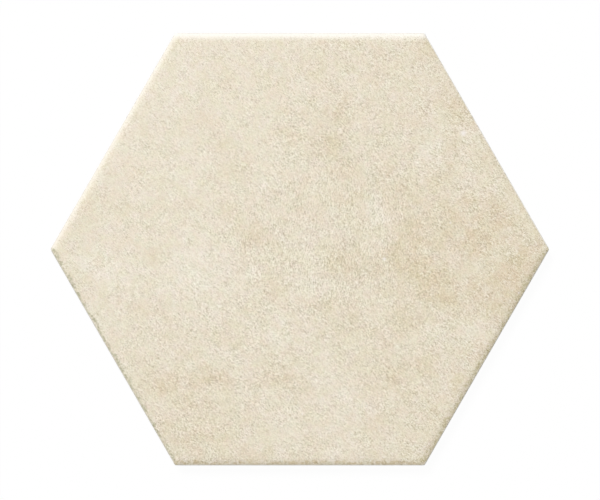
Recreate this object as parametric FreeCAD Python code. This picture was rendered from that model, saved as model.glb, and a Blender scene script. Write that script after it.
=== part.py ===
"""A pressed stoneware floor tile: one regular hexagon with a cushion edge and a honeycomb key on its back.

Millimetres. The origin is the centre of the back, +Z points out of the wearing face, and two
opposite sides are parallel to the X axis, so that two corners lie on it.
"""

import math
import os

import FreeCAD, Part

# The hexagon in plan
ACROSS_FLATS = 285.0
CORNER_RADIUS = 1.5

# The section through a side
THICKNESS = 9.0
CUSHION_WIDTH = 5.2
CUSHION_DROP = 1.15
ARRIS_RADIUS = 0.8
BACK_BEVEL_INSET = 0.9
BACK_BEVEL_HEIGHT = 3.0

# The honeycomb of shallow pockets that the adhesive keys into
POCKET_ACROSS_FLATS = 13.0
POCKET_DEPTH = 0.7
POCKET_WALL_LEAN = 40.0
RIB_WIDTH = 3.0
LEAST_RIM_WIDTH = 8.0

SIDES = 6
HALF_SIDE_ANGLE = math.pi / SIDES
UP = FreeCAD.Vector(0, 0, 1)
CENTRE = FreeCAD.Vector(0, 0, 0)


def hexagon_corners(across_flats, height, first_corner=0.0):
    """The corners of a hexagon at a height; first_corner is the direction of one of them, in radians."""
    to_corner = across_flats / 2 / math.cos(HALF_SIDE_ANGLE)
    turns = [first_corner + 2 * HALF_SIDE_ANGLE * k for k in range(SIDES)]
    return [FreeCAD.Vector(to_corner * math.cos(t), to_corner * math.sin(t), height) for t in turns]


def flat_face(corners):
    return Part.Face(Part.makePolygon(corners + corners[:1]))


def die_prism():
    """The space inside the die: a hexagonal prism with its upright edges rounded."""
    prism = flat_face(hexagon_corners(ACROSS_FLATS, 0)).extrude(UP * THICKNESS)
    upright = [e for e in prism.Edges if abs(e.tangentAt(e.FirstParameter).z) > 0.5]
    return prism.makeFillet(CORNER_RADIUS, upright)


def section():
    """The section square to a pair of sides: back, bevels, upright lands, arrises and cushions."""
    side = ACROSS_FLATS / 2
    cushion_radius = (CUSHION_WIDTH**2 + CUSHION_DROP**2) / (2 * CUSHION_DROP)
    cushion_centre = FreeCAD.Vector(0, side - CUSHION_WIDTH, THICKNESS - cushion_radius)
    # The arris is a small arc inside the cushion's arc, which it meets in line, as it meets the land.
    reach = cushion_radius - ARRIS_RADIUS
    across = CUSHION_WIDTH - ARRIS_RADIUS
    rise = math.sqrt(reach**2 - across**2)
    arris_centre = cushion_centre + FreeCAD.Vector(0, across, rise)

    def on_cushion(angle):
        return cushion_centre + FreeCAD.Vector(0, math.sin(angle), math.cos(angle)) * cushion_radius

    def on_arris(angle):
        return arris_centre + FreeCAD.Vector(0, math.sin(angle), math.cos(angle)) * ARRIS_RADIUS

    meet = math.atan2(across, rise)
    back_edge = FreeCAD.Vector(0, side - BACK_BEVEL_INSET, 0)
    land_foot = FreeCAD.Vector(0, side, BACK_BEVEL_HEIGHT)
    land_head = on_arris(math.pi / 2)
    half = [
        Part.LineSegment(CENTRE, back_edge).toShape(),
        Part.LineSegment(back_edge, land_foot).toShape(),
        Part.LineSegment(land_foot, land_head).toShape(),
        Part.Arc(land_head, on_arris((meet + math.pi / 2) / 2), on_arris(meet)).toShape(),
        Part.Arc(on_cushion(meet), on_cushion(meet / 2), on_cushion(0)).toShape(),
        Part.LineSegment(on_cushion(0), UP * THICKNESS).toShape(),
    ]
    other_half = [e.mirror(CENTRE, FreeCAD.Vector(0, 1, 0)) for e in half]
    return Part.Face(Part.Wire(Part.__sortEdges__(half + other_half)))


def bar_across(turn):
    """The section run along its pair of sides, past both corners, and turned about the centre."""
    length = 2 * ACROSS_FLATS
    bar = section().extrude(FreeCAD.Vector(length, 0, 0))
    bar.translate(FreeCAD.Vector(-length / 2, 0, 0))
    bar.rotate(CENTRE, UP, turn)
    return bar


def blank():
    """The tile with a plain back: what the die holds of the three crossing bars, mitred at the corners."""
    body = die_prism()
    for pair in range(SIDES // 2):
        body = body.common(bar_across(pair * 360 / SIDES))
    return body.removeSplitter()


def key_pocket():
    """One pocket, widest at its mouth, with its corners towards the tile's sides.

    It starts as far below the back as its floor is above it, so that it cuts the mouth cleanly.
    """
    lean = 2 * POCKET_DEPTH * math.tan(math.radians(POCKET_WALL_LEAN))
    below = hexagon_corners(POCKET_ACROSS_FLATS + lean, -POCKET_DEPTH, first_corner=HALF_SIDE_ANGLE)
    floor = hexagon_corners(POCKET_ACROSS_FLATS - lean, POCKET_DEPTH, first_corner=HALF_SIDE_ANGLE)
    faces = [flat_face(below), flat_face(floor)]
    for k in range(SIDES):
        faces.append(flat_face([below[k - 1], below[k], floor[k], floor[k - 1]]))
    return Part.Solid(Part.Shell(faces))


def pocket_places():
    """The pockets' centres: rings of a triangular lattice, as many as leave the rim its width."""
    pitch = POCKET_ACROSS_FLATS + RIB_WIDTH
    ring_step = pitch * math.cos(HALF_SIDE_ANGLE)
    pocket_reach = POCKET_ACROSS_FLATS / 2 / math.cos(HALF_SIDE_ANGLE)
    room = ACROSS_FLATS / 2 - BACK_BEVEL_INSET - LEAST_RIM_WIDTH - pocket_reach
    rings = int(room // ring_step)
    places = []
    for column in range(-rings, rings + 1):
        for row in range(-rings, rings + 1):
            if abs(column + row) <= rings:
                places.append(FreeCAD.Vector((column + row / 2) * pitch, row * ring_step, 0))
    return places


def hexagon_tile():
    """The blank with its key cut into the back."""
    pocket = key_pocket()
    pockets = []
    for place in pocket_places():
        one = pocket.copy()
        one.translate(place)
        pockets.append(one)
    return blank().cut(Part.makeCompound(pockets))


os.makedirs("parts", exist_ok=True)
hexagon_tile().exportStep("parts/hexagon_tile.step")
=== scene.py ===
"""The look of a pressed stoneware floor tile: a hexagon with a matt glaze and a bare keyed back.

Shapes are in metres, as the frame has them. The patterns of the glaze and the clay are in millimetres.
"""

import math

import bmesh
import bpy
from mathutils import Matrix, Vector


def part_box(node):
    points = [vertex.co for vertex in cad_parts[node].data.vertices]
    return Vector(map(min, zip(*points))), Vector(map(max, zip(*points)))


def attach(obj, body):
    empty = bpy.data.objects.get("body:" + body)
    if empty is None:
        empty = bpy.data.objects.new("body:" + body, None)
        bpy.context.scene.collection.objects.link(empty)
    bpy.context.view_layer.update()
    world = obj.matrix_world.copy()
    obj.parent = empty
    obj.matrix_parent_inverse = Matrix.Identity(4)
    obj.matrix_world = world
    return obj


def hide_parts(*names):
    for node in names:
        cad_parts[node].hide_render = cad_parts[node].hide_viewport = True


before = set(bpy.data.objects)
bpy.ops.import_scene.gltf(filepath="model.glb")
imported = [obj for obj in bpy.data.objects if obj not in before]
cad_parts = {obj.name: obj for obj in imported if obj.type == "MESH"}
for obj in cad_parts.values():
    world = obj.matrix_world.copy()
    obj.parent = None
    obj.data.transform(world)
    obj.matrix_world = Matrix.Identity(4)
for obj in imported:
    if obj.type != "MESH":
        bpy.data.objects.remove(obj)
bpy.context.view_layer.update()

TILE = "hexagon_tile"
TILE_LOW, TILE_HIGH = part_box(TILE)

MM = 0.001
SIDES = 6
HALF_SIDE_ANGLE = math.pi / SIDES

# The section through a side, as the solid has it
APOTHEM = (TILE_HIGH.y - TILE_LOW.y) / 2
THICKNESS = TILE_HIGH.z
CORNER_RADIUS = 1.5 * MM
CUSHION_WIDTH = 5.2 * MM
CUSHION_DROP = 1.15 * MM
ARRIS_RADIUS = 0.8 * MM
CUSHION_FOOT = THICKNESS - CUSHION_DROP
BACK_BEVEL_INSET = 0.9 * MM
BACK_BEVEL_HEIGHT = 3.0 * MM
# The relief and the colours of the edge fade out downwards to this height, just below the arris.
FADE_HEIGHT = CUSHION_FOOT - ARRIS_RADIUS

# The honeycomb key, as the solid has it
POCKET_ACROSS_FLATS = 13.0 * MM
POCKET_DEPTH = 0.7 * MM
POCKET_WALL_LEAN = math.radians(40.0)
RIB_WIDTH = 3.0 * MM
POCKET_RINGS = 9

# Softened edges and corners, which the solid leaves out
EDGE_SOFTENING = 0.25 * MM
POCKET_SOFTENING = 0.12 * MM
POCKET_CORNER = 1.1 * MM

# How finely the mesh is laid
FACE_RINGS = 145
CUSHION_RINGS = 7
ARRIS_STEPS = 4
LAND_STEPS = 3
WELD = 0.01 * MM
# A flat has a narrow ring of this width beside its softened edge, so that its shading stays level.
FLAT_MARGIN = 0.4 * MM

# The relief of the pressed face
GRAIN_DEPTH = 0.10 * MM
GRAIN_WIDTH = 2.6 * MM
GRAIN_LENGTH = 4.6 * MM
GRAIN_LEAN = math.radians(-55.0)
LUMP_DEPTH = 0.22 * MM
LUMP_SIZE = 8.0 * MM
LUMP_REACH = 9.0 * MM
LUMPS_ON_FLAT = 0.15
SAG_DEPTH = 0.06 * MM
SAG_SIZE = 70.0 * MM
RELIEF_SEED = 3.0
RELIEF_SEED_STEP = 10.0

# Colours of the glaze and of the body under it, in linear values
OCHRE_GLAZE = (0.736, 0.639, 0.468)
PALE_GLAZE = (0.876, 0.828, 0.714)
# Painted highlight for the bands along the upper sides, and painted shade in three hues for the bands
# along the others
PAINTED_HIGHLIGHT_EDGE = (0.900, 0.875, 0.815)
BROWN_PAINTED_SHADE_EDGE = (0.600, 0.480, 0.260)
OLIVE_PAINTED_SHADE_EDGE = (0.560, 0.500, 0.290)
GREY_PAINTED_SHADE_EDGE = (0.500, 0.485, 0.335)
DULL_ARRIS = (0.770, 0.740, 0.680)
PALE_ARRIS = (0.930, 0.920, 0.870)
GREENISH = (0.986, 1.008, 0.984)
PINKISH = (1.012, 0.993, 1.014)
SALLOW = (1.004, 1.000, 0.985)
MILKY = (0.996, 1.000, 1.015)
WHITE_SPECK = (0.900, 0.840, 0.795)
BROWN_SPECK = (0.480, 0.380, 0.220)
BARE_CLAY = (0.640, 0.555, 0.430)
DARK_CLAY = (0.500, 0.420, 0.310)
KILN_WASH = (0.800, 0.780, 0.730)
WHITE = (1.0, 1.0, 1.0)
# The tone of the glaze at which it is fully pale; it is fully ochre as far below 0.
TONE_RANGE = 1.5

# The grain multiplies the glaze's colour by these tints, and its flecks have a colour of their own
# The hollow and pit tints are partly the glaze's own dark speckle and partly painted shade in the
# grain's hollows.
HOLLOW_TINT_AND_SHADE = (0.748, 0.716, 0.647)
CREST_TINT = (1.178, 1.184, 1.228)
PIT_TINT_AND_SHADE = (0.765, 0.736, 0.674)
PALE_FLECK = (0.985, 0.935, 0.800)
FLECK_STRENGTH = 0.55
# The depth of the grain's bump in millimetres
GRAIN_BUMP = 0.06
GLAZE_ROUGHNESS = 0.56

# The camera, straight above the tile
PICTURE_WIDTH = 600
PICTURE_MM_PER_PIXEL = 0.6588
TILE_RIGHT_PIXELS = -0.2
TILE_UP_PIXELS = 0.7
LENS = 150.0
SENSOR = 36.0

# The light: a key lamp, one from below for the underside, and the surround from above and below
KEY_AZIMUTH = math.radians(119.0)
KEY_ELEVATION = math.radians(45.0)
KEY_SHARE = 0.62
UNDER_AZIMUTH = KEY_AZIMUTH + math.pi
UNDER_ELEVATION = math.radians(-60.0)
UNDER_SHARE = 0.3
LAMP_DISTANCE = 16.0
LAMP_SIZE = 5.9
FILL_SHARE = 0.41
FROM_BELOW = 0.55
HORIZON = 0.1
FLOOR_BRIGHTNESS = 0.96
FLOOR_DROP = 0.2 * MM
FLOOR_HALF_WIDTH = 3.0


# Wiring of node trees

def add(tree, kind, inputs=(), **settings):
    """A new node with its settings.

    Each of the inputs, by name or number, is linked to a socket or set to a value.
    """
    node = tree.nodes.new(kind)
    for name, value in settings.items():
        setattr(node, name, value)
    for key, value in dict(inputs).items():
        feed(tree, node.inputs[key], value)
    return node


def feed(tree, socket, value):
    """Links a socket to another one, or sets it to a plain value."""
    if isinstance(value, bpy.types.NodeSocket):
        tree.links.new(value, socket)
    elif socket.type == "RGBA" and len(value) == 3:
        socket.default_value = (*value, 1.0)
    else:
        socket.default_value = value


def maths(tree, operation, *values, clamp=False):
    node = add(tree, "ShaderNodeMath", enumerate(values), operation=operation, use_clamp=clamp)
    return node.outputs[0]


def highest(tree, *values):
    """The highest of several values."""
    found = values[0]
    for value in values[1:]:
        found = maths(tree, "MAXIMUM", found, value)
    return found


def vectors(tree, operation, *values, scale=None):
    node = add(tree, "ShaderNodeVectorMath", enumerate(values), operation=operation)
    if scale is not None:
        feed(tree, node.inputs["Scale"], scale)
    return node.outputs["Value" if operation in ("DOT_PRODUCT", "LENGTH") else "Vector"]


def split(tree, vector):
    """The X, Y and Z of a vector."""
    return add(tree, "ShaderNodeSeparateXYZ", {"Vector": vector}).outputs


def combined(tree, x=0.0, y=0.0, z=0.0):
    """The vector of an X, a Y and a Z."""
    return add(tree, "ShaderNodeCombineXYZ", {"X": x, "Y": y, "Z": z}).outputs["Vector"]


def turned_back(tree, place, angle):
    """A place turned about Z by the angle, the other way round."""
    inputs = {"Vector": place, "Angle": maths(tree, "MULTIPLY", angle, -1.0)}
    return add(tree, "ShaderNodeVectorRotate", inputs, rotation_type="Z_AXIS").outputs["Vector"]


def ramp(tree, value, low, high, to_low=0.0, to_high=1.0):
    """The value brought smoothly from one range to another, and held at its ends."""
    inputs = {"Value": value, "From Min": low, "From Max": high, "To Min": to_low, "To Max": to_high}
    return add(tree, "ShaderNodeMapRange", inputs, interpolation_type="SMOOTHSTEP").outputs["Result"]


def mixed(tree, factor, first, second, way="MIX"):
    """Two colours mixed by a factor."""
    inputs = {0: factor, 6: first, 7: second}
    return add(tree, "ShaderNodeMix", inputs, data_type="RGBA", blend_type=way).outputs[2]


def blended(tree, factor, first, second):
    """Two plain values mixed by a factor."""
    return add(tree, "ShaderNodeMix", {0: factor, 2: first, 3: second}).outputs[0]


def cloud(tree, place, size, seed, detail=2.0, roughness=0.5, distortion=0.0):
    """Soft noise from 0 to 1, with spots of about that size in the place's own unit."""
    inputs = {
        "Vector": place,
        "W": seed,
        "Scale": 1 / size,
        "Detail": detail,
        "Roughness": roughness,
        "Distortion": distortion,
    }
    return add(tree, "ShaderNodeTexNoise", inputs, noise_dimensions="4D").outputs["Fac"]


def distance_out(tree, place, angle):
    """How far a place lies out from the tile's middle in a direction."""
    return vectors(tree, "DOT_PRODUCT", place, (math.cos(angle), math.sin(angle), 0.0))


def new_group(name, kind, inputs, outputs):
    """A node group with its named sockets; returns it with what it is given and what it gives."""
    tree = bpy.data.node_groups.new(name, kind)
    for socket_name, socket_kind, default in inputs:
        socket = tree.interface.new_socket(
            socket_name, in_out="INPUT", socket_type="NodeSocket" + socket_kind
        )
        if default is not None:
            socket.default_value = default
    for socket_name, socket_kind in outputs:
        tree.interface.new_socket(
            socket_name, in_out="OUTPUT", socket_type="NodeSocket" + socket_kind
        )
    given = tree.nodes.new("NodeGroupInput").outputs
    result = tree.nodes.new("NodeGroupOutput").inputs
    return tree, given, result


def use(tree, group, inputs):
    """The outputs of a node group placed in a tree with its own values."""
    return add(tree, "ShaderNodeGroup", inputs, node_tree=group).outputs


def reshaped(tree, kind, geometry, inputs=(), **settings):
    """What a node of that kind makes of a geometry."""
    return add(tree, kind, {"Geometry": geometry, **dict(inputs)}, **settings).outputs["Geometry"]


# The pressed shell: face, sides and bevel

def cushion_radius():
    return (CUSHION_WIDTH**2 + CUSHION_DROP**2) / (2 * CUSHION_DROP)


def face_height(inset):
    """The smooth section's height at a distance in from a side, where the flat or the cushion is."""
    across = max(0.0, CUSHION_WIDTH - inset)
    radius = cushion_radius()
    return THICKNESS - radius + math.sqrt(radius**2 - across**2)


def section_rings():
    """The inset and height of each ring outside the flat.

    They run over the cushion and the arris, down the land and the bevel, and on to the back.
    """
    radius = cushion_radius()
    across = CUSHION_WIDTH - ARRIS_RADIUS
    rise = math.sqrt((radius - ARRIS_RADIUS) ** 2 - across**2)
    meet = math.atan2(across, rise)
    land_head = THICKNESS - radius + rise
    arris_inset = ARRIS_RADIUS * (1 - math.sin(meet))
    first = CUSHION_WIDTH * (CUSHION_RINGS - 1) / CUSHION_RINGS
    rings = []
    for step in range(CUSHION_RINGS):
        inset = first + (arris_inset - first) * step / (CUSHION_RINGS - 1)
        rings.append((inset, face_height(inset)))
    for step in range(1, ARRIS_STEPS + 1):
        angle = meet + (math.pi / 2 - meet) * step / ARRIS_STEPS
        inset = ARRIS_RADIUS * (1 - math.sin(angle))
        rings.append((inset, land_head + ARRIS_RADIUS * math.cos(angle)))
    land_foot = BACK_BEVEL_HEIGHT + EDGE_SOFTENING
    for step in range(1, LAND_STEPS + 1):
        rings.append((0.0, land_head + (land_foot - land_head) * step / LAND_STEPS))
    slope = math.atan2(BACK_BEVEL_INSET, BACK_BEVEL_HEIGHT)
    inward = EDGE_SOFTENING * math.sin(slope)
    down = EDGE_SOFTENING * math.cos(slope)
    rings.append((inward, BACK_BEVEL_HEIGHT - down))
    rings.append((BACK_BEVEL_INSET - inward, down))
    rings.append((BACK_BEVEL_INSET + EDGE_SOFTENING, 0.0))
    rings.append((BACK_BEVEL_INSET + EDGE_SOFTENING + FLAT_MARGIN, 0.0))
    return rings


def corner_direction(number):
    """From the tile's middle towards one of its corners."""
    angle = 2 * HALF_SIDE_ANGLE * number
    return Vector((math.cos(angle), math.sin(angle), 0))


def ring(apothem, steps, height, rounding=0.0):
    """Points round a hexagon, so many steps to a side; rounding draws its corners in."""
    to_corner = apothem / math.cos(HALF_SIDE_ANGLE)
    drawn_in = 1 - rounding * (1 / math.cos(HALF_SIDE_ANGLE) - 1) / to_corner
    points = []
    for side in range(SIDES):
        start = corner_direction(side)
        end = corner_direction(side + 1)
        for step in range(steps):
            point = start.lerp(end, step / steps) * to_corner
            if step == 0:
                point *= drawn_in
            point.z = height
            points.append(point)
    return points


def pressed_shell():
    """The face as rings of small triangles, and the edge as rings of quads down to the back."""
    points = [Vector((0, 0, THICKNESS))]
    faces = []
    edge = section_rings()
    flat_apothem = APOTHEM - edge[0][0]
    inner_start = 0
    for number in range(1, FACE_RINGS + 1):
        apothem = flat_apothem * number / FACE_RINGS
        start = len(points)
        points += ring(apothem, number, face_height(APOTHEM - apothem))
        for side in range(SIDES):
            for step in range(number):
                outer = start + side * number + step
                outer_next = start + (side * number + step + 1) % (SIDES * number)
                if number == 1:
                    faces.append((0, outer, outer_next))
                    continue
                inner_count = SIDES * (number - 1)
                inner = inner_start + (side * (number - 1) + step) % inner_count
                faces.append((inner, outer, outer_next))
                if step < number - 1:
                    inner_next = inner_start + (side * (number - 1) + step + 1) % inner_count
                    faces.append((inner, outer_next, inner_next))
        inner_start = start
    count = SIDES * FACE_RINGS
    for inset, height in edge[1:]:
        start = len(points)
        points += ring(APOTHEM - inset, FACE_RINGS, height, max(0.0, CORNER_RADIUS - inset))
        for place in range(count):
            after = (place + 1) % count
            faces.append((inner_start + place, start + place, start + after, inner_start + after))
        inner_start = start
    mesh = bpy.data.meshes.new("pressed_shell")
    mesh.from_pydata(points, [], faces)
    return mesh


def relief_tree():
    """Geometry Nodes that sink the face into its suede grain, its lumpy edge and a slight sag."""
    sockets = [
        ("Geometry", "Geometry", None),
        ("Grain Depth", "Float", GRAIN_DEPTH),
        ("Grain Width", "Float", GRAIN_WIDTH),
        ("Grain Length", "Float", GRAIN_LENGTH),
        ("Grain Lean", "Float", GRAIN_LEAN),
        ("Lump Depth", "Float", LUMP_DEPTH),
        ("Lump Size", "Float", LUMP_SIZE),
        ("Sag Depth", "Float", SAG_DEPTH),
        ("Sag Size", "Float", SAG_SIZE),
        ("Seed", "Float", RELIEF_SEED),
        ("Material", "Material", None),
    ]
    outputs = [("Geometry", "Geometry")]
    tree, given, result = new_group("pressed_relief", "GeometryNodeTree", sockets, outputs)
    place = add(tree, "GeometryNodeInputPosition").outputs["Position"]

    def scaled_cloud(size, number, detail, source=place):
        scale = maths(tree, "DIVIDE", 1.0, size)
        seed = maths(tree, "ADD", given["Seed"], number * RELIEF_SEED_STEP)
        inputs = {"Vector": source, "W": seed, "Scale": scale, "Detail": detail}
        return add(tree, "ShaderNodeTexNoise", inputs, noise_dimensions="4D").outputs["Fac"]

    # The grain is noise drawn out along its lean.
    turned = turned_back(tree, place, given["Grain Lean"])
    narrow = maths(tree, "DIVIDE", given["Grain Width"], given["Grain Length"])
    stretched = vectors(tree, "MULTIPLY", turned, combined(tree, narrow, 1.0, 1.0))
    grain = scaled_cloud(given["Grain Width"], 0, 1.0, stretched)
    lumps = scaled_cloud(given["Lump Size"], 1, 1.0)
    sag = scaled_cloud(given["Sag Size"], 2, 0.0)

    # Lumps are strongest along the cushion.
    across = []
    for pair in range(SIDES // 2):
        out = distance_out(tree, place, HALF_SIDE_ANGLE * (2 * pair + 1))
        across.append(maths(tree, "ABSOLUTE", out))
    lumps_from = APOTHEM - LUMP_REACH
    lumps_full = APOTHEM - CUSHION_WIDTH / 2
    near_edge = ramp(tree, highest(tree, *across), lumps_from, lumps_full, LUMPS_ON_FLAT, 1.0)

    grain_drop = maths(tree, "MULTIPLY", grain, given["Grain Depth"])
    lump_drop = maths(tree, "MULTIPLY", lumps, given["Lump Depth"])
    lump_drop = maths(tree, "MULTIPLY", lump_drop, near_edge)
    sag_drop = maths(tree, "MULTIPLY", sag, given["Sag Depth"])
    drop = maths(tree, "ADD", maths(tree, "ADD", grain_drop, lump_drop), sag_drop)
    on_face = ramp(tree, split(tree, place)["Z"], FADE_HEIGHT, CUSHION_FOOT)
    sink = maths(tree, "MULTIPLY", maths(tree, "MULTIPLY", drop, -1.0), on_face)
    offset = combined(tree, z=sink)
    sunk = reshaped(tree, "GeometryNodeSetPosition", given["Geometry"], {"Offset": offset})
    real = reshaped(tree, "GeometryNodeRealizeInstances", sunk)
    finished = reshaped(tree, "GeometryNodeSetMaterial", real, {"Material": given["Material"]})
    feed(tree, result["Geometry"], finished)
    return tree


# The honeycomb key on the back

def pocket_ring(across_flats, height, corner_cut):
    """A hexagon with its corners towards the tile's sides, each cut off by a small flat."""
    to_corner = across_flats / 2 / math.cos(HALF_SIDE_ANGLE)
    corners = []
    for side in range(SIDES):
        angle = HALF_SIDE_ANGLE + 2 * HALF_SIDE_ANGLE * side
        corners.append(Vector((to_corner * math.cos(angle), to_corner * math.sin(angle), height)))
    if corner_cut == 0:
        return corners
    points = []
    for side, corner in enumerate(corners):
        for neighbour in (corners[side - 1], corners[(side + 1) % SIDES]):
            points.append(corner + (neighbour - corner).normalized() * corner_cut)
    return points


def key_pocket():
    """One cell of the honeycomb: half the ribs round it, a soft mouth, leaning walls and the floor."""
    lean = math.tan(POCKET_WALL_LEAN)
    soft = POCKET_SOFTENING
    floor_width = POCKET_ACROSS_FLATS - 2 * POCKET_DEPTH * lean - 2 * soft

    def at_depth(depth, extra=0.0):
        width = POCKET_ACROSS_FLATS - 2 * depth * lean + extra
        return pocket_ring(width, depth, POCKET_CORNER * width / POCKET_ACROSS_FLATS)

    rings = [
        pocket_ring(POCKET_ACROSS_FLATS + RIB_WIDTH, 0.0, 0.0),
        at_depth(0.0, extra=2 * soft),
        at_depth(soft),
        at_depth(POCKET_DEPTH - soft),
        pocket_ring(floor_width, POCKET_DEPTH, POCKET_CORNER),
        pocket_ring(floor_width - 2 * FLAT_MARGIN, POCKET_DEPTH, POCKET_CORNER),
    ]
    points = [point for one in rings for point in one]
    faces = []
    corner_points = 2 * SIDES
    for side in range(SIDES):
        after = (side + 1) % SIDES
        first = SIDES + 2 * side
        faces.append((side, first, first + 1))
        faces.append((side, first + 1, SIDES + 2 * after, after))
    for level in range(1, len(rings) - 1):
        start = SIDES + (level - 1) * corner_points
        inner = start + corner_points
        for place in range(corner_points):
            after = (place + 1) % corner_points
            faces.append((start + place, inner + place, inner + after, start + after))
    last = SIDES + (len(rings) - 2) * corner_points
    faces.append(tuple(range(last, last + corner_points)))
    mesh = bpy.data.meshes.new("key_pocket")
    mesh.from_pydata(points, [], faces)
    return mesh


def honeycomb_tree():
    """Geometry Nodes that set the pocket on a hexagon of a triangular lattice, and weld the cells."""
    sockets = [
        ("Geometry", "Geometry", None),
        ("Pitch", "Float", POCKET_ACROSS_FLATS + RIB_WIDTH),
        ("Rings", "Int", POCKET_RINGS),
        ("Weld", "Float", WELD),
        ("Material", "Material", None),
    ]
    outputs = [("Geometry", "Geometry")]
    tree, given, result = new_group("honeycomb_key", "GeometryNodeTree", sockets, outputs)
    reach = maths(tree, "MULTIPLY", given["Pitch"], given["Rings"])
    width = maths(tree, "MULTIPLY", reach, 2.0)
    height = maths(tree, "MULTIPLY", width, math.cos(HALF_SIDE_ANGLE))
    count = maths(tree, "MULTIPLY_ADD", given["Rings"], 2.0, 1.0)
    extent = {"Size X": width, "Size Y": height, "Vertices X": count, "Vertices Y": count}
    grid = add(tree, "GeometryNodeMeshGrid", extent).outputs["Mesh"]

    # The grid is sheared into a triangular lattice.
    at = split(tree, add(tree, "GeometryNodeInputPosition").outputs["Position"])
    shear = maths(tree, "MULTIPLY", at["Y"], math.tan(HALF_SIDE_ANGLE))
    offset = combined(tree, x=shear)
    sheared = reshaped(tree, "GeometryNodeSetPosition", grid, {"Offset": offset})

    # Its two sharp corners are cut off, which leaves a hexagon.
    at = split(tree, add(tree, "GeometryNodeInputPosition").outputs["Position"])
    diagonal = maths(tree, "MULTIPLY_ADD", at["Y"], math.tan(HALF_SIDE_ANGLE), at["X"])
    limit = maths(tree, "MULTIPLY_ADD", given["Pitch"], 0.5, reach)
    outside = maths(tree, "GREATER_THAN", maths(tree, "ABSOLUTE", diagonal), limit)
    cut = {"Selection": outside}
    lattice = reshaped(tree, "GeometryNodeDeleteGeometry", sheared, cut, domain="POINT")

    placed = {"Points": lattice, "Instance": given["Geometry"]}
    cells = add(tree, "GeometryNodeInstanceOnPoints", placed).outputs["Instances"]
    real = reshaped(tree, "GeometryNodeRealizeInstances", cells)
    welded = reshaped(tree, "GeometryNodeMergeByDistance", real, {"Distance": given["Weld"]})
    finished = reshaped(tree, "GeometryNodeSetMaterial", welded, {"Material": given["Material"]})
    feed(tree, result["Geometry"], finished)
    return tree


def through_nodes(mesh, tree, values):
    """The plain mesh that a Geometry Nodes tree makes of a mesh, with its named inputs set."""
    piece = bpy.data.objects.new(mesh.name, mesh)
    bpy.context.scene.collection.objects.link(piece)
    nodes = piece.modifiers.new(tree.name, "NODES")
    nodes.node_group = tree
    for item in tree.interface.items_tree:
        if item.in_out == "INPUT" and item.name in values:
            nodes[item.identifier] = values[item.name]
    depsgraph = bpy.context.evaluated_depsgraph_get()
    made = bpy.data.meshes.new_from_object(piece.evaluated_get(depsgraph))
    piece.modifiers.remove(nodes)
    bpy.data.objects.remove(piece)
    return made


# The whole tile

def joined_tile(shell, key, glaze, clay):
    """The shell and the key made one closed skin by the flat rim between them."""
    body = bmesh.new()
    body.from_mesh(shell)
    body.from_mesh(key)
    rim = [edge for edge in body.edges if edge.is_boundary]
    bmesh.ops.triangle_fill(body, use_beauty=True, edges=rim, normal=(0, 0, -1))
    bmesh.ops.recalc_face_normals(body, faces=body.faces)
    open_edges = [edge for edge in body.edges if not edge.is_manifold]
    if open_edges:
        raise RuntimeError(f"the tile's skin has {len(open_edges)} open edges")
    for face in body.faces:
        face.smooth = True
        face.material_index = 0 if face.calc_center_median().z > BACK_BEVEL_HEIGHT else 1
    mesh = bpy.data.meshes.new("glazed_tile")
    body.to_mesh(mesh)
    body.free()
    mesh.materials.append(glaze)
    mesh.materials.append(clay)
    return mesh


def make_tile():
    glaze = matt_glaze()
    clay = bare_back()
    shell = through_nodes(pressed_shell(), relief_tree(), {"Material": glaze})
    key = through_nodes(key_pocket(), honeycomb_tree(), {"Material": clay})
    mesh = joined_tile(shell, key, glaze, clay)
    tile = bpy.data.objects.new("glazed_tile", mesh)
    bpy.context.scene.collection.objects.link(tile)
    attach(tile, "root")
    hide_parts(TILE)


# Effects that the materials share

# A patch fades out at this many times its half length and width. It has no end up or down.
PATCH_FADE = 1.6
PATCH_HALF_HEIGHT = 1000.0
# The share of a speck's size that the smallest has, and how far out each is solid
LEAST_SPECK = 0.4
SOLID_SPECK = 0.5

# Noise is given as its size in millimetres, seed, detail and roughness. A range is where a value
# starts and where it ends, and may go on with what it is brought to there.
CLAY_NOISE = (45.0, 5.0, 3.0, 0.5)
CLAY_RANGE = (0.3, 0.7)
CLAY_CLOUDINESS = 0.35
CLAY_SAND_NOISE = (0.7, 6.0, 2.0, 0.6)
CLAY_SAND_STRENGTH = 0.14
CLAY_SAND_HEIGHT = 0.05
PRESS_MARKS = {"Width": 1.2, "Length": 7.0, "Lean": 0.2, "Seed": 7.0}
PRESS_MARK_HEIGHT = 0.04
IRON_SPECKS = {"Spacing": 3.1, "Size": 0.45, "Share": 0.25}
IRON_STRENGTH = 0.55
WASH_NOISE = (16.0, 8.0, 4.0, 0.6)
WASH_RANGE = (0.35, 0.7)
CLAY_ROUGHNESS = 0.78
WASH_ROUGHNESS = 0.12


def grain_group():
    """Fine streaks drawn out along a lean, from 0 to 1. Place and sizes are in millimetres."""
    sockets = [
        ("Place", "Vector", None),
        ("Width", "Float", 1.0),
        ("Length", "Float", 2.0),
        ("Lean", "Float", 0.0),
        ("Seed", "Float", 0.0),
    ]
    tree, given, result = new_group("fine_grain", "ShaderNodeTree", sockets, [("Height", "Float")])
    turned = turned_back(tree, given["Place"], given["Lean"])
    along = maths(tree, "DIVIDE", 1.0, given["Length"])
    across = maths(tree, "DIVIDE", 1.0, given["Width"])
    place = vectors(tree, "MULTIPLY", turned, combined(tree, along, across, across))
    streaks = cloud(tree, place, 1.0, given["Seed"], detail=1.0, roughness=0.6, distortion=0.35)
    feed(tree, result["Height"], streaks)
    return tree


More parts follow.
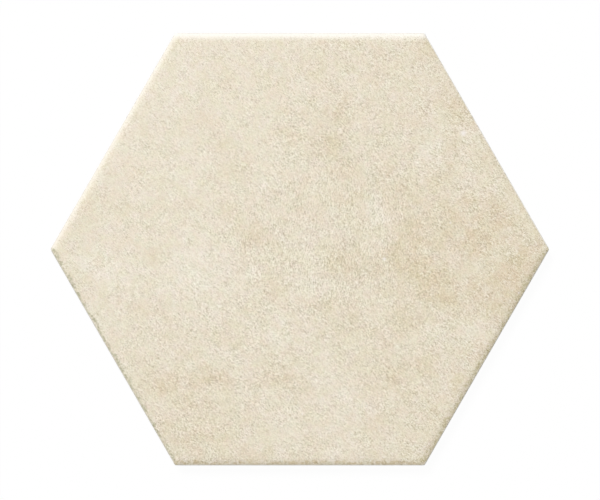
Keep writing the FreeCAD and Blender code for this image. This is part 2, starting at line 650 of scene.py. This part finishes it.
def patch_group():
    """A soft-edged oval patch, from 0 to 1. Place, centre and sizes are in millimetres."""
    sockets = [
        ("Place", "Vector", None),
        ("Centre", "Vector", None),
        ("Half Length", "Float", 10.0),
        ("Half Width", "Float", 10.0),
        ("Turn", "Float", 0.0),
    ]
    tree, given, result = new_group("soft_patch", "ShaderNodeTree", sockets, [("Mask", "Float")])
    away = vectors(tree, "SUBTRACT", given["Place"], given["Centre"])
    turned = turned_back(tree, away, given["Turn"])
    half_size = combined(tree, given["Half Length"], given["Half Width"], PATCH_HALF_HEIGHT)
    reach = vectors(tree, "LENGTH", vectors(tree, "DIVIDE", turned, half_size))
    feed(tree, result["Mask"], ramp(tree, reach, 0.0, PATCH_FADE, 1.0, 0.0))
    return tree


def speck_group():
    """Scattered specks, from 0 to 1: a share of cells of a given spacing hold one of a given size."""
    sockets = [
        ("Place", "Vector", None),
        ("Spacing", "Float", 5.0),
        ("Size", "Float", 0.5),
        ("Share", "Float", 0.3),
    ]
    tree, given, result = new_group(
        "scattered_specks", "ShaderNodeTree", sockets, [("Mask", "Float")]
    )
    scale = maths(tree, "DIVIDE", 1.0, given["Spacing"])
    cells = add(tree, "ShaderNodeTexVoronoi", {"Vector": given["Place"], "Scale": scale}).outputs
    draw = add(tree, "ShaderNodeSeparateColor", {0: cells["Color"]}).outputs
    distance = maths(tree, "MULTIPLY", cells["Distance"], given["Spacing"])
    size = maths(tree, "MULTIPLY", given["Size"], maths(tree, "ADD", draw["Green"], LEAST_SPECK))
    inside = ramp(tree, maths(tree, "DIVIDE", distance, size), SOLID_SPECK, 1.0, 1.0, 0.0)
    chosen = maths(tree, "LESS_THAN", draw["Red"], given["Share"])
    feed(tree, result["Mask"], maths(tree, "MULTIPLY", inside, chosen))
    return tree


def clay_group():
    """The bare fired body: warm grey clay with iron specks, sand marks and a thin pale kiln wash."""
    sockets = [("Place", "Vector", None), ("Wash", "Float", 0.5)]
    outputs = [("Colour", "Color"), ("Roughness", "Float"), ("Height", "Float")]
    tree, given, result = new_group("bare_clay", "ShaderNodeTree", sockets, outputs)
    place = given["Place"]
    clouds = ramp(tree, cloud(tree, place, *CLAY_NOISE), *CLAY_RANGE)
    sand = cloud(tree, place, *CLAY_SAND_NOISE)
    press = use(tree, GRAIN, {"Place": place, **PRESS_MARKS})["Height"]
    iron = use(tree, SPECKS, {"Place": place, **IRON_SPECKS})["Mask"]
    wash = ramp(tree, cloud(tree, place, *WASH_NOISE), *WASH_RANGE)
    wash = maths(tree, "MULTIPLY", wash, given["Wash"])
    colour = mixed(tree, clouds, BARE_CLAY, DARK_CLAY)
    colour = mixed(tree, CLAY_CLOUDINESS, BARE_CLAY, colour)
    colour = mixed(tree, maths(tree, "MULTIPLY", iron, IRON_STRENGTH), colour, BROWN_SPECK)
    colour = mixed(tree, wash, colour, KILN_WASH)
    sandy = ramp(tree, sand, *CLAY_RANGE, 0.0, CLAY_SAND_STRENGTH)
    colour = mixed(tree, sandy, colour, DARK_CLAY)
    height = maths(tree, "MULTIPLY", press, PRESS_MARK_HEIGHT)
    height = maths(tree, "MULTIPLY_ADD", sand, CLAY_SAND_HEIGHT, height)
    feed(tree, result["Colour"], colour)
    feed(tree, result["Roughness"], maths(tree, "MULTIPLY_ADD", wash, WASH_ROUGHNESS, CLAY_ROUGHNESS))
    feed(tree, result["Height"], height)
    return tree


GRAIN = grain_group()
PATCH = patch_group()
SPECKS = speck_group()
CLAY = clay_group()


# The glaze's patterns

# Where the glaze is paler or more ochre: centre x and y, half length, half width, turn, strength.
# Lengths are in millimetres and turns in degrees; a strength above 0 is pale, and one below it ochre.
GLAZE_PATCHES = (
    # The first three only make the face paler towards the left and more ochre towards the right.
    (-85, 25, 85, 120, 0, 0.30),
    (104, -4, 60, 36, 0, -0.55),
    (85, 10, 70, 120, 0, -0.10),
    (-70, -108, 42, 34, 0, -0.24),
    (70, -80, 40, 45, 0, -0.12),
    (-78, 116, 14, 44, -30, 0.20),
    (-4, 116, 12, 20, 0, 0.35),
    (-34, 122, 12, 8, 0, 0.25),
    (-68, -18, 17, 28, 0, 0.45),
    (-130, -12, 22, 12, -20, 0.58),
    (-15, -57, 18, 9, 0, 0.45),
    (24, -98, 12, 40, 0, 0.50),
    (-9, -117, 12, 14, 0, 0.40),
    (-46, -75, 7, 6, 0, 0.60),
    (-30, -99, 14, 7, -20, 0.35),
    (80, -89, 8, 7, 0, 0.45),
    (44, -105, 7, 6, 0, 0.45),
    (107, -57, 13, 7, 20, 0.40),
    (86, -55, 9, 8, 0, 0.35),
    (118, -10, 20, 4, 45, 0.28),
    (7, -23, 10, 10, 0, 0.60),
    (5, 9, 9, 8, 0, 0.30),
    (50, 22, 6, 20, 0, 0.65),
    (86, 66, 10, 17, 0, 0.50),
    (110, 48, 7, 6, 0, 0.60),
    (107, 76, 5, 9, 0, 0.40),
    (40, 80, 7, 6, 0, 0.35),
    (34, 107, 9, 8, 0, 0.35),
    (-20, 55, 14, 12, 0, 0.30),
    (78, -14, 14, 9, 0, -1.30),
    (94, -27, 13, 8, -20, -1.20),
    (74, 8, 12, 10, 0, -1.00),
    (65, -5, 9, 9, 0, -0.70),
    (103, 18, 9, 14, 0, -0.70),
    (118, 6, 12, 7, 0, -1.10),
    (131, 22, 10, 10, 0, -1.10),
    (116, 25, 8, 7, 0, -0.60),
    (140, -20, 18, 11, 0, -1.20),
    (149, -4, 12, 10, 0, -0.90),
    (70, 35, 14, 10, 0, -0.60),
    (56, 50, 10, 8, 0, -0.45),
    (92, 42, 14, 6, 15, -0.45),
    (118, -30, 9, 7, 0, -0.60),
    (123, -41, 9, 7, 0, -0.50),
    (136, -38, 9, 6, 60, -0.80),
    (19, 67, 9, 10, 30, -0.75),
    (30, 53, 10, 10, 60, -0.60),
    (34, 36, 8, 10, 0, -0.45),
    (26, 89, 12, 8, 10, -0.45),
    (7, 92, 9, 7, 0, -0.30),
    (-8, 75, 12, 7, 20, -0.40),
    (88, 99, 8, 7, 0, -0.45),
    (83, 128, 7, 9, -30, -0.45),
    (103, 92, 7, 8, -30, -0.85),
    (101, 54, 11, 9, 0, -0.40),
    (-42, 54, 20, 14, 0, -0.42),
    (-52, 18, 22, 12, 0, -0.16),
    (98, 73, 7, 8, 0, -0.55),
    (76, 85, 9, 7, 0, -0.35),
    (47, 115, 12, 8, 0, -0.40),
    (122, 57, 7, 9, -30, -0.45),
    (10, 119, 9, 12, 0, -0.45),
    (-11, 107, 6, 7, 0, -0.55),
    (-49, 116, 9, 7, 0, -0.15),
    (-81, 108, 9, 8, 0, -0.20),
    (-64, 84, 9, 8, 0, -0.40),
    (-53, 72, 8, 9, -20, -0.35),
    (-28, 8, 11, 9, 0, -1.00),
    (-44, 26, 12, 9, -30, -0.60),
    (-17, -25, 11, 8, 40, -0.75),
    (29, -8, 13, 9, 10, -0.75),
    (-1, 25, 10, 7, 0, -0.45),
    (16, -36, 10, 6, 45, -0.45),
    (34, -48, 12, 8, 45, -0.40),
    (23, -58, 8, 6, 45, -0.40),
    (69, -50, 9, 9, 0, -0.60),
    (-108, -38, 10, 6, 0, -0.60),
    (-91, -38, 8, 6, 0, -0.55),
    (-87, -54, 7, 8, 0, -0.40),
    (-95, -5, 8, 7, -40, -0.55),
    (-121, 29, 9, 9, 0, -0.40),
    (-141, 22, 9, 8, 0, -0.30),
    (-88, -88, 15, 8, 0, -1.10),
    (-57, -84, 12, 7, 0, -1.12),
    (-67, -101, 10, 6, 0, -0.50),
    (-100, -75, 10, 8, 0, -0.30),
    (-75, -66, 9, 7, 0, -0.40),
    (-60, -56, 11, 6, 0, -0.40),
    (-44, -62, 9, 7, -60, -0.40),
    (-14, -84, 12, 9, -15, -0.80),
    (-68, -120, 20, 14, 0, -0.40),
    (-32, -135, 12, 5, 0, -0.55),
    (6, -124, 9, 6, 0, -0.35),
    (64, -84, 13, 10, 20, -0.65),
    (84, -76, 8, 7, 0, -0.65),
    (53, -114, 11, 7, 0, -0.50),
    (82, -119, 9, 9, 0, -0.25),
    (117, -69, 7, 7, 60, -0.60),
    (105, -90, 6, 8, -30, -0.50),
    (41, -90, 8, 8, 0, -0.30),
)

# The patches' outlines are drawn aside by noise of this size, by up to half of the drift
DRIFT_SIZE = 13.0
DRIFT = 26.0
# The tone between the patches, and what that tone and the patches' strengths are all multiplied by
BASE_TONE = 0.118
PATCH_STRENGTH = 0.85
# Most noise is taken as fully low below the first of these, and as fully high above the second
NOISE_SPAN = (0.35, 0.65)
# What breaks the patches up into clouds
BROKEN_NOISE = (7.0, 9.0, 3.0, 0.6)
BROKEN_RANGE = (*NOISE_SPAN, 0.45, 1.45)

# Clouds over the whole glaze: size in millimetres, seed, strength
GLAZE_CLOUDS = ((38.0, 1.0, 0.15), (11.0, 2.0, 0.9), (6.5, 5.0, 0.45))
# Brushed streaks in its tone: width and length in millimetres, lean in degrees, seed, strength
GLAZE_STREAKS = ((2.6, 5.4, -54, 3.0, 0.55), (1.5, 4.6, -54, 24.0, 1.2))
# Clouds of hue: size in millimetres, seed, strength, and the two hues between which they run
HUE_CLOUDS = (
    (7.5, 17.0, 0.9, GREENISH, PINKISH),
    (3.0, 20.0, 0.2, GREENISH, PINKISH),
    (1.2, 18.0, 0.6, GREENISH, PINKISH),
    (1.1, 23.0, 1.0, SALLOW, MILKY),
    (9.0, 19.0, 1.0, SALLOW, MILKY),
)

# The strokes' lean in degrees, and where they lean otherwise: centre x and y, half length, half
# width, lean
STROKE_LEAN = -42.0
TURNED_STROKES = (
    (18, 8, 78, 54, -78.0),
    (108, 72, 46, 58, -26.0),
)
# Such a zone begins, and is full, at these values of its mask
ZONE_RANGE = (0.3, 0.7)
# The grain is calmer towards one corner and stronger beyond a line across the face
STRONGER_TOWARDS = math.radians(-28.0)
CALM_UP_TO = -78.0
STRONG_FROM = -28.0
CALM_GRAIN = 0.71
STRONG_GRAIN = 1.05
# Where it is stronger or calmer still: centre x and y, half length, half width, strength
GRAIN_SPOTS = (
    (8, -14, 60, 24, 0.28),
    (55, 60, 30, 30, 0.08),
    (34, -88, 28, 26, -0.28),
    (0, -124, 44, 18, -0.16),
    (-100, -55, 22, 22, 0.20),
    (104, 70, 40, 60, 0.08),
)
# How uneven its strength is from spot to spot, and how much of it the band of painted highlight on the
# upper sides smooths away
UNEVEN_NOISE = (9.0, 15.0)
UNEVENNESS = 0.35
HIGHLIGHT_SMOOTHING = 0.75
# Its strokes, with their length and seed, the sand between them, and the share of each in the height
STROKE_WIDTH = 0.58
LONG_STROKES = (2.1, 11.0)
SHORT_STROKES = (1.3, 31.0)
SAND_NOISE = (0.55, 14.0, 1.0)
STROKE_SHARE = 0.42
SAND_SHARE = 0.60
GRAIN_CONTRAST = 2.62
# A pit lies where the short strokes are lower than this, and a fleck where they are as much higher.
# Both count in the height by the last of these.
PIT_START = 0.43
PIT_FULL = 0.35
PIT_HEIGHT = 0.8

# Scattered specks: spacing and size in millimetres, share of the cells that hold one, colour, strength
SCATTERED_SPECKS = (
    (9.0, 0.7, 0.18, WHITE_SPECK, 0.60),
    (6.0, 0.5, 0.12, BROWN_SPECK, 0.35),
)
# Single specks: centre x and y, half width, colour, strength
SINGLE_SPECKS = (
    (107.8, 76.5, 2.0, WHITE_SPECK, 0.9),
    (55.6, -6.3, 1.1, WHITE_SPECK, 0.9),
    (-120.6, 27.6, 1.1, BROWN_SPECK, 0.35),
    (-67.9, -103.0, 1.1, BROWN_SPECK, 0.55),
    (-45.0, -84.8, 1.3, BROWN_SPECK, 0.25),
)

# Painted light along each side, anticlockwise from the upper right one: a painted highlight on the
# upper and upper left sides, which face the key lamp, and painted shade in olive, grey and brown on
# the others. Columns: whether its band is a smooth one that calms the grain, or a ragged one; the
# band's colour, strength and width; the arris's colour
SIDE_PAINTED_LIGHT_AND_ARRIS = (
    (False, OLIVE_PAINTED_SHADE_EDGE, 0.12, 2.8, PALE_ARRIS),
    (True, PAINTED_HIGHLIGHT_EDGE, 1.00, 5.8, DULL_ARRIS),
    (True, PAINTED_HIGHLIGHT_EDGE, 0.58, 3.6, DULL_ARRIS),
    (False, GREY_PAINTED_SHADE_EDGE, 0.60, 2.8, DULL_ARRIS),
    (False, BROWN_PAINTED_SHADE_EDGE, 0.42, 3.4, PALE_ARRIS),
    (False, OLIVE_PAINTED_SHADE_EDGE, 0.50, 3.8, DULL_ARRIS),
)
# A band is full up to this share of its width
SMOOTH_BAND_FULL = 0.1
RAGGED_BAND_FULL = 0.55
RAGGED_NOISE = (4.5, 21.0, 4.0, 0.65)
RAGGED_RANGE = (0.34, 0.66, 0.45, 1.65)
SPOTTED_NOISE = (2.2, 22.0, 1.0)
SPOTTED_RANGE = (0.38, 0.62, 0.35, 1.50)
# The arris's colour is full up to the first inset and ends at the second. It begins and is full at
# these distances above the height where the edge's colours fade out.
ARRIS_INSETS = (0.2, 0.85)
ARRIS_STRENGTH = 0.8
ARRIS_FROM = 0.10
ARRIS_FULL = 0.50

# Where the glaze ends on the upright sides: its lowest height in millimetres, how far above that it
# wanders, and half the height over which it thins out
GLAZE_LINE = 3.6
GLAZE_LINE_WANDER = 3.4
GLAZE_LINE_NOISE = (5.0, 16.0, 3.0)
GLAZE_LINE_SOFTNESS = 0.25

# The kiln wash on the sides, and on the back: from which height to which it fades, from what to what
SIDE_WASH = 0.25
BACK_WASH_RANGE = (0.05, 0.35, 0.75, 0.15)


# Materials

def new_material(name):
    """An empty material; returns it with its tree and the socket that its surface goes to."""
    material = bpy.data.materials.new(name)
    material.use_nodes = True
    tree = material.node_tree
    tree.nodes.clear()
    output = tree.nodes.new("ShaderNodeOutputMaterial")
    return material, tree, output.inputs["Surface"]


def millimetres(tree):
    """The place on the piece, in millimetres."""
    place = add(tree, "ShaderNodeTexCoord").outputs["Object"]
    scale = (1 / MM, 1 / MM, 1 / MM)
    return add(tree, "ShaderNodeMapping", {"Vector": place, "Scale": scale}).outputs["Vector"]


def feed_surface(tree, surface, colour, roughness, height):
    """Gives a material its colour, its roughness, and relief from a height in millimetres."""
    bump = add(tree, "ShaderNodeBump", {"Height": height, "Strength": 1.0, "Distance": MM})
    values = {"Base Color": colour, "Roughness": roughness, "Normal": bump.outputs["Normal"]}
    feed(tree, surface, add(tree, "ShaderNodeBsdfPrincipled", values).outputs["BSDF"])


def patch_mask(tree, place, x, y, half_length, half_width, turn=0.0):
    """Where a soft patch lies, from 0 to 1; its turn is in degrees."""
    inputs = {
        "Place": place,
        "Centre": (x, y, 0.0),
        "Half Length": half_length,
        "Half Width": half_width,
        "Turn": math.radians(turn),
    }
    return use(tree, PATCH, inputs)["Mask"]


def glaze_tone(tree, place):
    """From ochre, below 0, to pale: placed patches with cloudy outlines, clouds and streaks."""
    inputs = {"Vector": place, "Scale": 1 / DRIFT_SIZE, "Detail": 4.0, "Roughness": 0.6}
    drift = add(tree, "ShaderNodeTexNoise", inputs, noise_dimensions="3D").outputs["Color"]
    drift = vectors(tree, "SUBTRACT", drift, (0.5, 0.5, 0.5))
    drifted = vectors(tree, "ADD", place, vectors(tree, "SCALE", drift, scale=DRIFT))
    broken = ramp(tree, cloud(tree, place, *BROKEN_NOISE), *BROKEN_RANGE)
    tone = BASE_TONE
    for *shape, strength in GLAZE_PATCHES:
        tone = maths(tree, "MULTIPLY_ADD", patch_mask(tree, drifted, *shape), strength, tone)
    tone = maths(tree, "MULTIPLY", tone, maths(tree, "MULTIPLY", broken, PATCH_STRENGTH))
    for size, seed, strength in GLAZE_CLOUDS:
        spots = maths(tree, "SUBTRACT", cloud(tree, place, size, seed), 0.5)
        tone = maths(tree, "MULTIPLY_ADD", spots, strength, tone)
    for width, length, lean, seed, strength in GLAZE_STREAKS:
        drawn = {"Place": place, "Width": width, "Length": length, "Lean": math.radians(lean)}
        streaks = use(tree, GRAIN, {**drawn, "Seed": seed})["Height"]
        streaks = maths(tree, "SUBTRACT", streaks, 0.5)
        tone = maths(tree, "MULTIPLY_ADD", streaks, strength, tone)
    return tone


def edge_toned(tree, place, colour):
    """The colour with each side's band of painted highlight or painted shade, and its arris; and how
    far the smooth bands of painted highlight calm the grain.
    """
    ragged = ramp(tree, cloud(tree, place, *RAGGED_NOISE), *RAGGED_RANGE)
    spotted = ramp(tree, cloud(tree, place, *SPOTTED_NOISE), *SPOTTED_RANGE)
    up = split(tree, place)["Z"]
    fade = FADE_HEIGHT / MM
    above_fade = ramp(tree, up, fade, CUSHION_FOOT / MM)
    on_arris = ramp(tree, up, fade + ARRIS_FROM, fade + ARRIS_FULL, 0.0, ARRIS_STRENGTH)
    highlight_band = 0.0
    # Each side's band is painted light: a painted highlight on the upper sides, which face the key
    # lamp, and painted shade on the others.
    for side, (is_highlight, band, strength, width, arris) in enumerate(SIDE_PAINTED_LIGHT_AND_ARRIS):
        out = distance_out(tree, place, HALF_SIDE_ANGLE * (2 * side + 1))
        inset = maths(tree, "SUBTRACT", APOTHEM / MM, out)
        if is_highlight:
            mask = ramp(tree, inset, SMOOTH_BAND_FULL * width, width, strength, 0.0)
            mask = maths(tree, "MULTIPLY", mask, above_fade)
            highlight_band = maths(tree, "ADD", highlight_band, mask)
        else:
            reach = maths(tree, "DIVIDE", inset, maths(tree, "MULTIPLY", ragged, width))
            mask = ramp(tree, reach, RAGGED_BAND_FULL, 1.0, strength, 0.0)
            mask = maths(tree, "MULTIPLY", mask, spotted, clamp=True)
            mask = maths(tree, "MULTIPLY", mask, above_fade)
        colour = mixed(tree, mask, colour, band)
        line = ramp(tree, inset, *ARRIS_INSETS, 1.0, 0.0)
        colour = mixed(tree, maths(tree, "MULTIPLY", line, on_arris), colour, arris)
    return colour, highlight_band


def crossed(tree, mask, first, second):
    """Two noises about 0.5 crossed over by a mask, as strong where they meet as elsewhere."""
    rest = maths(tree, "SUBTRACT", 1.0, mask)
    spread = maths(tree, "MULTIPLY_ADD", mask, mask, maths(tree, "MULTIPLY", rest, rest))
    level = maths(tree, "SUBTRACT", blended(tree, mask, first, second), 0.5)
    return maths(tree, "ADD", maths(tree, "DIVIDE", level, maths(tree, "SQRT", spread)), 0.5)


def suede_grain(tree, place, highlight_band):
    """The grain's height, pits and flecks, from 0 to 1: short leaning strokes with sand between."""
    zones = []
    for x, y, half_length, half_width, lean in TURNED_STROKES:
        zone = patch_mask(tree, place, x, y, half_length, half_width)
        zones.append((ramp(tree, zone, *ZONE_RANGE), math.radians(lean)))

    def strokes(length, seed):
        """Strokes on the grain's lean, and on each zone's own lean within it."""
        inputs = {"Place": place, "Width": STROKE_WIDTH, "Length": length}
        lean = math.radians(STROKE_LEAN)
        height = use(tree, GRAIN, {**inputs, "Lean": lean, "Seed": seed})["Height"]
        for number, (zone, lean) in enumerate(zones, start=1):
            turned = use(tree, GRAIN, {**inputs, "Lean": lean, "Seed": seed + number})["Height"]
            height = crossed(tree, zone, height, turned)
        return height

    drawn = strokes(*LONG_STROKES)
    dotted = strokes(*SHORT_STROKES)
    sand = cloud(tree, place, *SAND_NOISE)
    along = distance_out(tree, place, STRONGER_TOWARDS)
    vigour = ramp(tree, along, CALM_UP_TO, STRONG_FROM, CALM_GRAIN, STRONG_GRAIN)
    for *shape, strength in GRAIN_SPOTS:
        vigour = maths(tree, "MULTIPLY_ADD", patch_mask(tree, place, *shape), strength, vigour)
    uneven = cloud(tree, place, *UNEVEN_NOISE)
    uneven = ramp(tree, uneven, *NOISE_SPAN, 1 - UNEVENNESS, 1 + UNEVENNESS)
    vigour = maths(tree, "MULTIPLY", vigour, uneven)
    # The grain is calmer under the band of painted highlight along the upper sides.
    grain_kept = maths(tree, "MULTIPLY_ADD", highlight_band, -HIGHLIGHT_SMOOTHING, 1.0)
    vigour = maths(tree, "MULTIPLY", vigour, grain_kept)
    level = -(STROKE_SHARE + SAND_SHARE) / 2
    for noise, share in ((drawn, STROKE_SHARE), (sand, SAND_SHARE)):
        level = maths(tree, "MULTIPLY_ADD", noise, share, level)
    level = maths(tree, "MULTIPLY", level, vigour)
    height = maths(tree, "MULTIPLY_ADD", level, GRAIN_CONTRAST, 0.5, clamp=True)
    pits = maths(tree, "MULTIPLY", ramp(tree, dotted, PIT_FULL, PIT_START, 1.0, 0.0), vigour)
    flecks = maths(tree, "MULTIPLY", ramp(tree, dotted, 1 - PIT_START, 1 - PIT_FULL), vigour)
    return height, pits, flecks


def matt_glaze():
    """The wearing face and the upper side: a matt beige glaze with a fine suede grain."""
    material, tree, surface = new_material("matt_glaze")
    place = millimetres(tree)
    tone = ramp(tree, glaze_tone(tree, place), -TONE_RANGE, TONE_RANGE)
    colour = mixed(tree, tone, OCHRE_GLAZE, PALE_GLAZE)
    for size, seed, strength, first, second in HUE_CLOUDS:
        hue = ramp(tree, cloud(tree, place, size, seed), *NOISE_SPAN)
        colour = mixed(tree, strength, colour, mixed(tree, hue, first, second), way="MULTIPLY")
    # Along the sides: a painted highlight on the upper ones, painted shade on the others, and each
    # arris's colour.
    colour, highlight_band = edge_toned(tree, place, colour)

    # The grain darkens its hollows and pits, partly as the glaze's own speckle and partly as painted
    # shade in the hollows, and pales its crests and flecks.
    height, pits, flecks = suede_grain(tree, place, highlight_band)
    grain_tint_and_shade = mixed(tree, height, HOLLOW_TINT_AND_SHADE, CREST_TINT)
    colour = mixed(tree, 1.0, colour, grain_tint_and_shade, way="MULTIPLY")
    colour = mixed(tree, pits, colour, PIT_TINT_AND_SHADE, way="MULTIPLY")
    colour = mixed(tree, maths(tree, "MULTIPLY", flecks, FLECK_STRENGTH), colour, PALE_FLECK)
    dots = maths(tree, "MULTIPLY", maths(tree, "SUBTRACT", flecks, pits), PIT_HEIGHT)
    height = maths(tree, "ADD", height, dots)

    for spacing, size, share, tint, strength in SCATTERED_SPECKS:
        inputs = {"Place": place, "Spacing": spacing, "Size": size, "Share": share}
        specks = use(tree, SPECKS, inputs)["Mask"]
        colour = mixed(tree, maths(tree, "MULTIPLY", specks, strength), colour, tint)
    for x, y, half_width, tint, strength in SINGLE_SPECKS:
        speck = patch_mask(tree, place, x, y, half_width, half_width)
        colour = mixed(tree, maths(tree, "MULTIPLY", speck, strength), colour, tint)

    # The glaze ends in a ragged line part of the way down the land, over bare clay.
    clay = use(tree, CLAY, {"Place": place, "Wash": SIDE_WASH})
    wander = cloud(tree, place, *GLAZE_LINE_NOISE)
    line = maths(tree, "MULTIPLY_ADD", wander, GLAZE_LINE_WANDER, GLAZE_LINE)
    above = maths(tree, "SUBTRACT", split(tree, place)["Z"], line)
    glazed = ramp(tree, above, -GLAZE_LINE_SOFTNESS, GLAZE_LINE_SOFTNESS)
    colour = mixed(tree, glazed, clay["Colour"], colour)
    height = maths(tree, "MULTIPLY", height, GRAIN_BUMP)
    height = blended(tree, glazed, clay["Height"], height)
    roughness = blended(tree, glazed, clay["Roughness"], GLAZE_ROUGHNESS)
    feed_surface(tree, surface, colour, roughness, height)
    return material


def bare_back():
    """The bevel, ribs and pockets: bare clay with kiln wash on what touches the rollers."""
    material, tree, surface = new_material("bare_back")
    place = millimetres(tree)
    wash = ramp(tree, split(tree, place)["Z"], *BACK_WASH_RANGE)
    clay = use(tree, CLAY, {"Place": place, "Wash": wash})
    feed_surface(tree, surface, clay["Colour"], clay["Roughness"], clay["Height"])
    return material


# The studio

def seen_straight(tree, path):
    """1 for rays that see a thing straight, in a reflection or through glass, and 0 for others."""
    return highest(tree, path["Is Camera Ray"], path["Is Glossy Ray"], path["Is Transmission Ray"])


def lay_floor():
    """A white floor that keeps a faint shadow, and lets the underside be seen and lit from below."""
    half = FLOOR_HALF_WIDTH
    z = TILE_LOW.z - FLOOR_DROP
    corners = [(-half, -half, z), (half, -half, z), (half, half, z), (-half, half, z)]
    mesh = bpy.data.meshes.new("floor")
    mesh.from_pydata(corners, [], [(0, 1, 2, 3)])
    floor = bpy.data.objects.new("floor", mesh)
    bpy.context.scene.collection.objects.link(floor)
    material, tree, surface = new_material("white_floor")
    path = add(tree, "ShaderNodeLightPath").outputs
    plain = add(tree, "ShaderNodeBsdfDiffuse", {"Color": WHITE}).outputs[0]
    bright = add(tree, "ShaderNodeEmission", {"Color": WHITE, "Strength": 1.0}).outputs[0]
    share = maths(tree, "MULTIPLY", seen_straight(tree, path), FLOOR_BRIGHTNESS)
    white = add(tree, "ShaderNodeMixShader", {0: share, 1: plain, 2: bright}).outputs[0]
    behind = add(tree, "ShaderNodeNewGeometry").outputs["Backfacing"]
    open_to = highest(tree, path["Is Diffuse Ray"], path["Is Shadow Ray"], behind)
    clear = add(tree, "ShaderNodeBsdfTransparent").outputs[0]
    cover = add(tree, "ShaderNodeMixShader", {0: open_to, 1: white, 2: clear}).outputs[0]
    feed(tree, surface, cover)
    mesh.materials.append(material)


def light_world():
    """An even white surround; what comes from below stands for light off the white floor."""
    world = bpy.data.worlds.new("studio")
    bpy.context.scene.world = world
    world.use_nodes = True
    tree = world.node_tree
    tree.nodes.clear()
    path = add(tree, "ShaderNodeLightPath").outputs
    upward = split(tree, add(tree, "ShaderNodeTexCoord").outputs["Generated"])["Z"]
    soft = ramp(tree, upward, -HORIZON, HORIZON, FROM_BELOW, FILL_SHARE)
    strength = maths(tree, "MAXIMUM", soft, seen_straight(tree, path))
    background = add(tree, "ShaderNodeBackground", {"Color": WHITE, "Strength": strength})
    output = tree.nodes.new("ShaderNodeOutputWorld")
    feed(tree, output.inputs["Surface"], background.outputs[0])


def hang_lamp(name, azimuth, elevation, share):
    """A square soft lamp aimed at the tile, which gives a level white surface that share of white."""
    level = math.cos(elevation)
    direction = Vector((math.cos(azimuth) * level, math.sin(azimuth) * level, math.sin(elevation)))
    lamp = bpy.data.lights.new(name, "AREA")
    lamp.size = LAMP_SIZE
    lamp.energy = share * math.pi**2 * LAMP_DISTANCE**2 / abs(math.sin(elevation))
    hung = bpy.data.objects.new(name, lamp)
    hung.location = direction * LAMP_DISTANCE
    hung.rotation_euler = direction.to_track_quat("Z", "Y").to_euler()
    bpy.context.scene.collection.objects.link(hung)


def set_camera():
    """Straight above the tile with a long lens, so that its sides don't show."""
    lens = bpy.data.cameras.new("camera")
    lens.sensor_width = SENSOR
    lens.lens = LENS
    camera = bpy.data.objects.new("camera", lens)
    shown_width = PICTURE_WIDTH * PICTURE_MM_PER_PIXEL * MM
    camera.location = (
        -TILE_RIGHT_PIXELS * PICTURE_MM_PER_PIXEL * MM,
        -TILE_UP_PIXELS * PICTURE_MM_PER_PIXEL * MM,
        THICKNESS + shown_width * LENS / SENSOR,
    )
    bpy.context.scene.collection.objects.link(camera)
    bpy.context.scene.camera = camera


make_tile()
lay_floor()
light_world()
hang_lamp("key_lamp", KEY_AZIMUTH, KEY_ELEVATION, KEY_SHARE)
hang_lamp("under_lamp", UNDER_AZIMUTH, UNDER_ELEVATION, UNDER_SHARE)
set_camera()
bpy.context.scene.view_settings.view_transform = "Standard"
